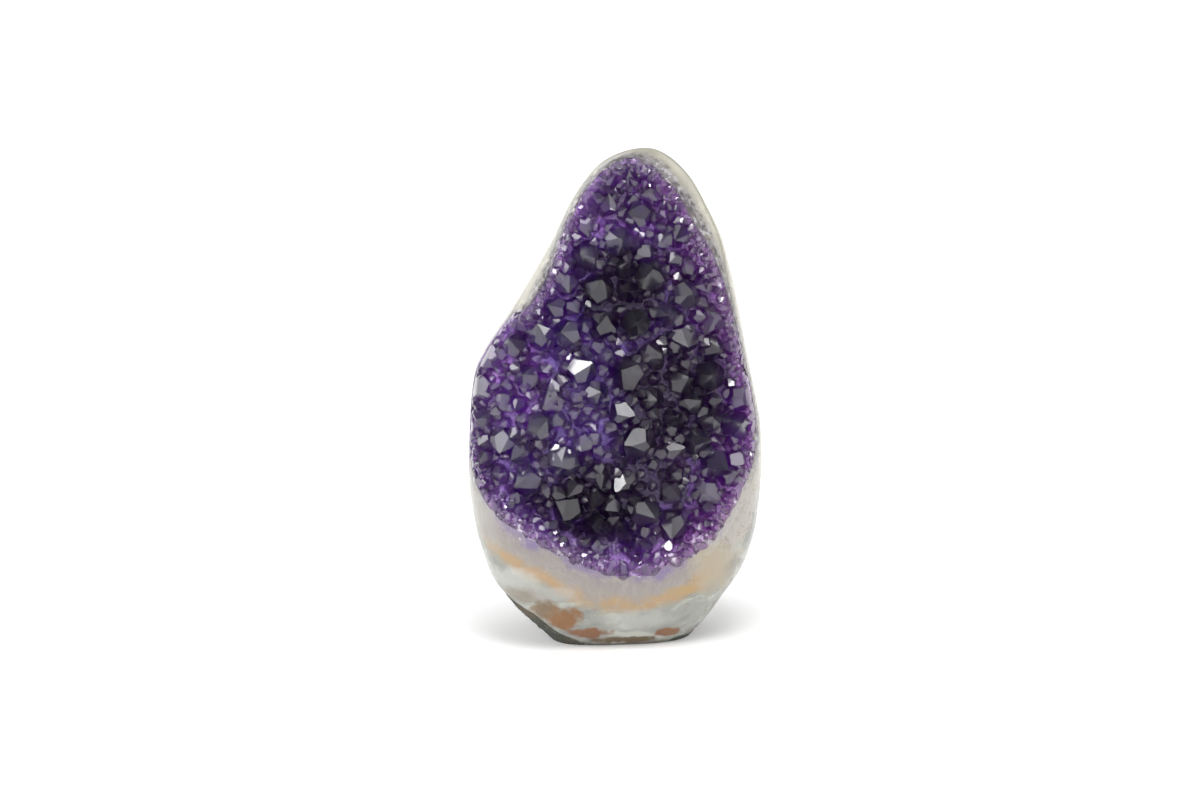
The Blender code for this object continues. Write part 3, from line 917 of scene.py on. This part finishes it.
def crystal(rng, shapes, radius, length, root):
    """One quartz point along +Z: a six-sided prism cut by six tip faces, three often larger."""
    bm = bmesh.new()
    unevenness = shapes.random() ** 1.6
    bmesh.ops.create_cone(
        bm, cap_ends=True, segments=6, radius1=radius, radius2=radius, depth=length + root + radius
    )
    bmesh.ops.translate(bm, vec=(0, 0, (length + radius - root) / 2), verts=bm.verts)
    for face in range(6):
        bearing = math.radians(30 + 60 * face)
        normal = Vector((math.cos(bearing), math.sin(bearing), 0)) * math.sin(TIP_SLOPE)
        normal.z = math.cos(TIP_SLOPE)
        limits = SMALL_FACE_SETBACK if face % 2 else LARGE_FACE_SETBACK
        setback = rng.uniform(*limits) * unevenness
        cut = bmesh.ops.bisect_plane(
            bm,
            geom=[*bm.verts, *bm.edges, *bm.faces],
            plane_co=(0, 0, length + setback * radius),
            plane_no=normal,
            clear_outer=True,
        )["geom_cut"]
        rim = [e for e in cut if isinstance(e, bmesh.types.BMEdge)]
        if len(rim) > 2:
            bmesh.ops.contextual_create(bm, geom=rim)
    return bm


def crystal_places(rng):
    """Roots of the crust's crystals: the largest, and smaller ones that fill up the bed."""
    places = list(LARGE_CRYSTALS)
    for _ in range(CRYSTAL_TRIES):
        across, height = (rng.uniform(*limits) for limits in CRYSTAL_ZONE)
        edge = inset(across, height)
        share = EDGE_SHRINK + (1 - EDGE_SHRINK) * smooth(edge, 0, WALL_WIDTH)
        radius = rng.uniform(*SMALL_RADIUS) * share
        clear = all(
            math.hypot(across - x, height - z) > CRYSTAL_SPACING * (radius + other) / 2
            for x, z, other in places
        )
        if clear and edge > 0:
            places.append((across, height, radius))
    return places


def planted(rng, shapes, place, size, root, lift=0.0):
    """One crystal of this radius and length, about square to the bed and tilted."""
    across, height = place
    grown = crystal(rng, shapes, *size, root)
    matrix = (
        Matrix.Translation((across, bed_floor(across, height) - lift, height))
        @ floor_normal(across, height).to_track_quat("Z", "Y").to_matrix().to_4x4()
        @ Matrix.Rotation(rng.uniform(0, 2 * math.pi), 4, "Z")
        @ Matrix.Rotation(MOST_TILT * rng.random(), 4, "X")
        @ Matrix.Rotation(rng.uniform(0, 2 * math.pi), 4, "Z")
    )
    bmesh.ops.transform(grown, matrix=matrix, verts=grown.verts)
    return new_object("crystal", mesh_of("crystal", grown))


def crust_crystals():
    """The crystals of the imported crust."""
    rng, shapes = random.Random(CRYSTAL_SEED), random.Random(CRYSTAL_SEED + 1)
    crystals = []
    for across, height, radius in crystal_places(rng):
        radius *= 0.5 + 0.5 * smooth(inset(across, height), 0, 6)
        tip = radius * math.tan(TIP_SLOPE) * rng.uniform(*TIP_LENGTHS)
        length = SHEET_THICKNESS + tip + rng.uniform(*CRYSTAL_RISE)
        crystals.append(planted(rng, shapes, (across, height), (radius, length), CRYSTAL_ROOT))
    return crystals


def gap_share(across, height, edge):
    """Share of its full size that a crystal in a gap has here, none next to the bed's edge."""
    return 0.5 + 0.5 * smooth(edge, 0, 8) if edge >= 1 else 0


def druse_share(across, height, edge):
    """1 where the finest crystals line the bed's edge, in a strip of uneven width."""
    patch = noise.noise(Vector((across, 40, height)) / 11)
    reach = 3 + 5 * max(0.0, patch) + 6 * smooth(height, 118, 128)
    return 1 if -0.5 <= edge <= reach else 0


def scattered(rng, tries, share_at, least, more, spacing):
    """Random places on the bed that keep their distance from each other: across, height, radius."""
    cells, found = {}, []
    for _ in range(tries):
        across, height = (rng.uniform(*limits) for limits in CRYSTAL_ZONE)
        size = least + more * rng.random()
        radius = size * share_at(across, height, inset(across, height))
        if not radius:
            continue
        column, row = int(across // CELL), int(height // CELL)
        place = (across, bed_floor(across, height), height)
        near = (cells.get((column + i, row + k), ()) for i in (-1, 0, 1) for k in (-1, 0, 1))
        if all(math.dist(place, p) > spacing * (radius + r) for others in near for p, r in others):
            cells.setdefault((column, row), []).append((place, radius))
            found.append((across, height, radius))
    return found


def filling_crystals(settings, crust):
    """Small crystals in the gaps between the crust's, and the finest along the bed's edge."""
    rng = random.Random(settings.seed)
    corners, faces = [v.co for v in crust.vertices], [p.vertices[:] for p in crust.polygons]
    tree = BVHTree.FromPolygons(corners, faces)
    crystals = []
    for tries, share_at, least, more, spacing, stand in (
        (settings.filling, gap_share, 1.3, 1.5, 0.72, 0.7),
        (settings.druse, druse_share, 0.5, 0.5, 0.66, 0.6),
    ):
        for across, height, radius in scattered(rng, tries, share_at, least, more, spacing):
            hit = tree.ray_cast(Vector((across, -REACH, height)) * MM, Vector((0, 1, 0)))[0]
            proud = bed_floor(across, height) - BED_LIFT - hit.y / MM if hit else 0
            if proud > stand + radius:
                continue
            lift = BED_LIFT * smooth(inset(across, height), 0, 2)
            size = (radius, radius * (1.0 + 0.8 * rng.random()))
            crystals.append(planted(rng, rng, (across, height), size, SMALL_ROOT, lift))
    return crystals


class GEODE_OT_stone(bpy.types.Operator):
    """Builds the polished agate stone with its hollow and its basalt skin"""

    bl_idname = "geode.add_stone"
    bl_label = "Agate stone"

    def execute(self, context):
        settings = context.scene.geode_stone
        edge = edge_in_space()
        blank = stone_blank(
            SKIN_RINGS, SKIN_SEGMENTS, lambda point: roughened(point, edge.find(point)[2], settings)
        )
        stone = new_object("polished_agate", blank)
        combined(stone, [new_object("bed_cutter", bed_cutter())], "DIFFERENCE")
        mark_stone(stone.data, edge, settings)
        stone.data.shade_smooth()
        stone.data.set_sharp_from_angle(angle=math.radians(40))
        stone.data.materials.clear()
        stone.data.materials.append(finish_agate(settings))
        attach(stone, "root")
        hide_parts("agate_stone")
        return {"FINISHED"}


class GEODE_OT_crystals(bpy.types.Operator):
    """Builds the crust of amethyst crystals"""

    bl_idname = "geode.add_crystals"
    bl_label = "Amethyst crystals"

    def execute(self, context):
        settings = context.scene.geode_crystals
        crust, *others = crust_crystals()
        crust.name = "amethyst_crystals"
        combined(crust, others, "UNION")
        combined(crust, filling_crystals(settings, crust.data), "UNION")
        shrink = 1 - ENVELOPE_SHRINK / ENVELOPE_RADIUS
        envelope = stone_blank(
            ENVELOPE_RINGS, ENVELOPE_SEGMENTS, lambda p: Vector((p.x * shrink, p.y * shrink, p.z))
        )
        combined(crust, [new_object("envelope", envelope)], "INTERSECT")
        crust.data.shade_flat()
        crust.data.materials.clear()
        crust.data.materials.append(finish_amethyst(settings))
        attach(crust, "root")
        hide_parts("amethyst_crust")
        return {"FINISHED"}


def soft_light(name, place, size, power, only=None):
    """A square studio lamp that faces the stone. A collection given to it is all that it lights."""
    lamp = bpy.data.lights.new(name, "AREA")
    lamp.shape = "SQUARE"
    lamp.size = size
    lamp.energy = power
    light = bpy.data.objects.new(name, lamp)
    light.location = place
    towards = Vector(LAMP_TARGET) - Vector(place)
    light.rotation_euler = towards.to_track_quat("-Z", "Y").to_euler()
    light.light_linking.receiver_collection = only
    bpy.context.scene.collection.objects.link(light)


def studio_world():
    """White for the camera. For light and reflections, pale panels in a dimmer room."""
    world = bpy.data.worlds.new("studio")
    bpy.context.scene.world = world
    made = Finish(world)
    direction = made.add("ShaderNodeTexCoord", output="Generated")
    radiance = ROOM_RADIANCE
    for towards, inner, outer, strength in PANELS:
        facing = made.add(
            "ShaderNodeVectorMath",
            {"operation": "DOT_PRODUCT"},
            {0: direction, 1: Vector(towards).normalized()},
            output="Value",
        )
        faded, full = math.cos(math.radians(outer)), math.cos(math.radians(inner))
        radiance = radiance + made.step(facing, faded, full) * strength
    room = made.add("ShaderNodeBackground", None, {"Color": (1, 1, 1, 1), "Strength": radiance})
    white = made.add("ShaderNodeBackground", None, {"Color": (1, 1, 1, 1)})
    seen = made.add("ShaderNodeLightPath", output="Is Camera Ray")
    choice = made.add("ShaderNodeMixShader", None, {0: seen, 1: room, 2: white})
    made.output("ShaderNodeOutputWorld", {"Surface": choice})


class GEODE_OT_stage(bpy.types.Operator):
    """Builds a plain pale floor, soft light and the camera"""

    bl_idname = "geode.add_stage"
    bl_label = "Studio"

    def execute(self, context):
        settings = context.scene.geode_stage
        bm = bmesh.new()
        bmesh.ops.create_circle(bm, cap_ends=True, segments=FLOOR_SEGMENTS, radius=FLOOR_RADIUS)
        mesh = bpy.data.meshes.new("floor")
        bm.to_mesh(mesh)
        bm.free()
        floor = new_object("floor", mesh)
        floor.location.z = -FLOOR_DROP
        made = Finish(bpy.data.materials.new("white_floor"))
        shader = made.principled({
            "Base Color": (0.9, 0.9, 0.9, 1),
            "Roughness": 0.6,
            "Specular IOR Level": 0.2,
            "Emission Color": (1, 1, 1, 1),
            "Emission Strength": 0.16,
        })
        mesh.materials.append(made.output("ShaderNodeOutputMaterial", {"Surface": shader}))
        studio_world()
        for lamp in LAMPS:
            soft_light(*lamp)
        glinting = bpy.data.collections.new("glinting")
        context.scene.collection.children.link(glinting)
        glinting.objects.link(bpy.data.objects["amethyst_crystals"])
        for i, place in enumerate(GLINTS):
            soft_light(f"glint_lamp_{i}", place, GLINT_SIZE, GLINT_POWER, glinting)
        camera = bpy.data.objects.new("camera", bpy.data.cameras.new("camera"))
        camera.data.lens = settings.lens
        camera.data.sensor_width = SENSOR_WIDTH
        back = Vector((0, -math.cos(settings.elevation), math.sin(settings.elevation)))
        camera.location = Vector(settings.aim) + back * settings.distance
        camera.rotation_euler = (-back).to_track_quat("-Z", "Y").to_euler()
        context.scene.collection.objects.link(camera)
        context.scene.camera = camera
        context.scene.view_settings.view_transform = "Standard"
        return {"FINISHED"}


class GEODE_PT_panel(bpy.types.Panel):
    """Lists the geode's pieces and the studio"""

    bl_label = "Geode"
    bl_space_type = "VIEW_3D"
    bl_region_type = "UI"
    bl_category = "Geode"

    def draw(self, context):
        for operator in OPERATORS:
            self.layout.operator(operator.bl_idname)
        for group in SETTINGS:
            settings = getattr(context.scene, group)
            box = self.layout.box()
            for name in settings.bl_rna.properties.keys():
                if name not in ("rna_type", "name"):
                    box.prop(settings, name)


OPERATORS = (GEODE_OT_stone, GEODE_OT_crystals, GEODE_OT_stage)
SETTINGS = {
    "geode_stone": StoneSettings,
    "geode_crystals": CrystalSettings,
    "geode_stage": StageSettings,
}


def register():
    for made in (*SETTINGS.values(), *OPERATORS, GEODE_PT_panel):
        bpy.utils.register_class(made)
    for name, group in SETTINGS.items():
        setattr(bpy.types.Scene, name, PointerProperty(type=group))


def unregister():
    for name in SETTINGS:
        delattr(bpy.types.Scene, name)
    for made in reversed((*SETTINGS.values(), *OPERATORS, GEODE_PT_panel)):
        bpy.utils.unregister_class(made)


def main():
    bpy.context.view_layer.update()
    register()
    bpy.ops.geode.add_stone()
    bpy.ops.geode.add_crystals()
    bpy.ops.geode.add_stage()


if __name__ == "__main__":
    main()
